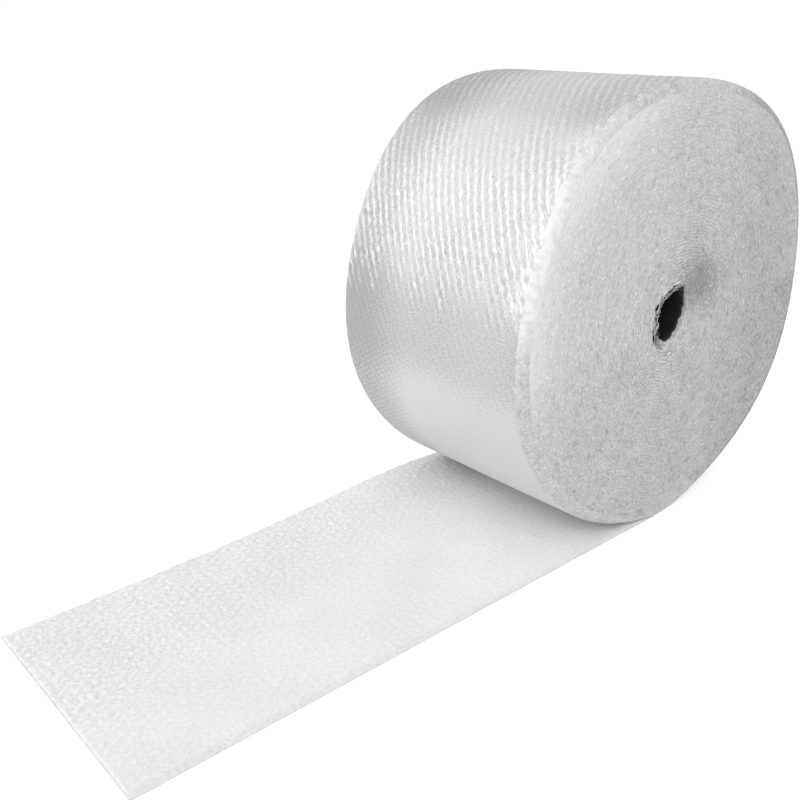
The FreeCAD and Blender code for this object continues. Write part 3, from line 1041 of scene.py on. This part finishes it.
def makeLooseEnd(material):
    spec = looseEnd
    half = spec["width"] / 2
    x = np.linspace(half, -half, spec["stepsAcross"] + 1)
    y = np.linspace(spec["start"], -spec["length"], spec["stepsAlong"] + 1)
    grid = (len(y), len(x))
    xGrid = np.broadcast_to(x[None, :], grid)
    yGrid = np.broadcast_to(y[:, None], grid)
    wobble = spec["straying"] * noiseOver(yGrid, 31, xGrid, 27, 41)
    sideways = wobble + spec["strayingApart"] * noiseOver(yGrid, 13, xGrid, 13, 45)
    lengthways = wobble + spec["strayingApart"] * noiseOver(yGrid, 13, xGrid, 13, 46)
    distance, columns, rows = nearestBubble(xGrid + half + sideways, -yGrid + lengthways,
                                            spec["bubblePitch"], spec["rowPitch"])
    # the bubbles stand up most along the far edge and at the cut end
    ruffled = smoothStep(40 * mm, -120 * mm, xGrid + 0.25 * (yGrid + 0.4))
    pressed = 0.50 + 0.50 * scattered(columns, rows, 42)
    pressed = pressed * (1 + 0.3 * noiseOver(yGrid, 60, xGrid, 50, 43))
    pressed = pressed * (0.45 + 0.65 * ruffled)
    dome = 1 - smoothStep(*spec["domeFade"], distance)
    released = smoothStep(*spec["releaseSpan"], -yGrid)
    relief = spec["bubbleRelief"] * dome * pressed * (0.10 + 0.90 * released)
    fine = noiseOver(yGrid, 5, xGrid, 6, 47)
    relief = relief + (0.06 + 0.14 * ruffled) * mm * fine * released
    sunken = 0.3 * mm  # what the roll's foot is clear of
    base = np.maximum(pressedHeight(yGrid) - sunken, spec["thinnest"])
    base = base + (spec["thickness"] - spec["bubbleRelief"] - roll["pressedFilm"] + sunken) * released
    rise = np.exp(-((yGrid - spec["liftPlace"]) / spec["liftReach"]) ** 2)
    rise = rise * smoothStep(0, 60 * mm, -yGrid)
    farShare = smoothStep(0.1 * half, half, -xGrid) ** 1.4
    lift = spec["farEdgeLift"] * rise * farShare * smoothStep(-spec["length"], -spec["length"] + 0.25, yGrid)
    wave = spec["waves"] * (1 + noiseOver(yGrid, 120, xGrid, 100, 44)) * released
    below = lift + wave
    top = base + relief + below
    atEdge = np.minimum(half - np.abs(xGrid), spec["length"] + yGrid)
    for (droop, reach), inside in ((spec["cutDroop"], atEdge), (spec["nearDroop"], half - xGrid)):
        top = top - droop * (1 - smoothStep(0, reach, inside)) * released
    topPoints = np.stack([xGrid, yGrid, top], -1).reshape(-1, 3)
    topNumbers = np.arange(len(topPoints)).reshape(grid)

    coarse = 4
    bottomRows = slice(0, None, coarse)
    bottomX, bottomY = xGrid[bottomRows, bottomRows], yGrid[bottomRows, bottomRows]
    bottomPoints = np.stack([bottomX, bottomY, below[bottomRows, bottomRows] + 0.1 * mm], -1)
    bottomPoints = bottomPoints.reshape(-1, 3)
    bottomNumbers = len(topPoints) + np.arange(len(bottomPoints)).reshape(bottomX.shape)

    def border(numbers):
        return [numbers[0, :], numbers[:, -1], numbers[-1, ::-1], numbers[::-1, 0]]

    points = np.concatenate([topPoints, bottomPoints])
    skirts = []
    for upper, lower in zip(border(topNumbers), border(bottomNumbers)):
        skirts.append(zipFaces(upper, np.linspace(0, 1, len(upper)), lower, np.linspace(0, 1, len(lower))))
    # painted shade: between the bubbles, towards the far end, and along the far edge and the cut end, none
    # at the near edge
    paintedShade = 0.12 * (1 - dome) * released * (0.4 + 0.6 * ruffled)
    paintedShade = paintedShade + 0.16 * smoothStep(230 * mm, 430 * mm, -yGrid)
    paintedShade = paintedShade + 0.06 * smoothStep(420 * mm, 700 * mm, -yGrid)
    paintedShade = paintedShade + 0.8 * (1 - smoothStep(0, 3.4 * mm, half + xGrid))
    paintedShade = paintedShade + 0.25 * (1 - smoothStep(0, 1.9 * mm, spec["length"] + yGrid))
    paintedShade = paintedShade * smoothStep(0, 4 * mm, half - xGrid)
    bottomCrease = 0.3 * (1 - smoothStep(0, 4 * mm, (half + xGrid)[bottomRows, bottomRows]))
    paintedShade = np.concatenate([paintedShade.ravel(), bottomCrease.ravel()])
    ruffle = np.concatenate([(0.6 + 0.6 * ruffled).ravel(), np.ones(bottomCrease.size)])
    places = np.stack([points[:, 0], points[:, 1]], -1)
    topFaces = gridFaces(topNumbers)
    bottomFaces = gridFaces(bottomNumbers)[:, ::-1]
    piece = makePiece("looseEnd", points, [topFaces, bottomFaces, np.concatenate(skirts)[:, ::-1]],
                      lambda middles: middles, material, places, {"paintedShade": paintedShade, "ruffle": ruffle})


bubbleFilm = makeBubbleFilm()
makeLooseEnd(bubbleFilm)
print("loose end laid out")


# A plain pale studio.
studio = {
    "floor": "#F0F0F0",
    "floorWhite": 0.50,  # added to the floor where it is looked at, so that it is white but for shadows
    "skyStrength": 0.66,
    # azimuth, elevation, distance, width, height and radiance
    "panels": (
        ("leftPanel", -58, 28, 2.4, 1.3, 1.0, 4.6),
        ("rightPanel", 58, 40, 1.6, 0.9, 0.8, 2.2),
        ("lowPanel", -8, 9, 2.2, 1.6, 0.5, 1.8),
    ),
}

# 1 where a surface is looked at, straight or in a mirror or through glass, and 0 where it lights.
def lookedAt(tree):
    path = addNode(tree, "LightPath").outputs
    seen = maths(tree, "MAXIMUM", path["Is Camera Ray"], path["Is Glossy Ray"])
    return maths(tree, "MAXIMUM", seen, path["Is Transmission Ray"])


def makeStudio():
    spec = studio
    scene = bpy.context.scene
    scene.view_settings.view_transform = "Standard"
    world = bpy.data.worlds.new("studioSky")
    scene.world = world
    world.use_nodes = True
    tree = world.node_tree
    tree.nodes.clear()
    sky = addNode(tree, "Background", {"Color": (1, 1, 1, 1), "Strength": spec["skyStrength"]})
    shown = addNode(tree, "Background", {"Color": (1, 1, 1, 1), "Strength": 1.0})
    mixed = addNode(tree, "MixShader", {0: lookedAt(tree), 1: sky.outputs[0], 2: shown.outputs[0]})
    addNode(tree, "OutputWorld", {"Surface": mixed.outputs[0]})

    material, tree = emptyMaterial("paintedStudioFloor")
    paint = addNode(tree, "BsdfDiffuse", {"Color": linearColour(spec["floor"])})
    white = addNode(tree, "Emission", {"Color": (1, 1, 1, 1), "Strength": spec["floorWhite"]})
    whiter = addNode(tree, "AddShader", {0: paint.outputs[0], 1: white.outputs[0]})
    mixed = addNode(tree, "MixShader", {0: lookedAt(tree), 1: paint.outputs[0], 2: whiter.outputs[0]})
    addNode(tree, "OutputMaterial", {"Surface": mixed.outputs[0]})
    mesh = bpy.data.meshes.new("studioFloor")
    reach = 30
    below = -0.3 * mm
    mesh.from_pydata([(-reach, -reach, below), (reach, -reach, below), (reach, reach, below),
                      (-reach, reach, below)], [], [(0, 1, 2, 3)])
    mesh.materials.append(material)
    floor = bpy.data.objects.new("studioFloor", mesh)
    scene.collection.objects.link(floor)

    centre = Vector((0, -0.1, 0.2))
    for name, azimuth, elevation, distance, width, height, radiance in spec["panels"]:
        data = bpy.data.lights.new(name, "AREA")
        data.shape = "RECTANGLE"
        data.size = width
        data.size_y = height
        data.energy = radiance * math.pi * width * height
        panel = bpy.data.objects.new(name, data)
        away = directionTo(azimuth, elevation)
        panel.matrix_world = (Matrix.Translation(centre + away * distance)
                              @ away.to_track_quat("Z", "Y").to_matrix().to_4x4())
        panel.visible_camera = False
        scene.collection.objects.link(panel)


makeStudio()
print("studio lit")
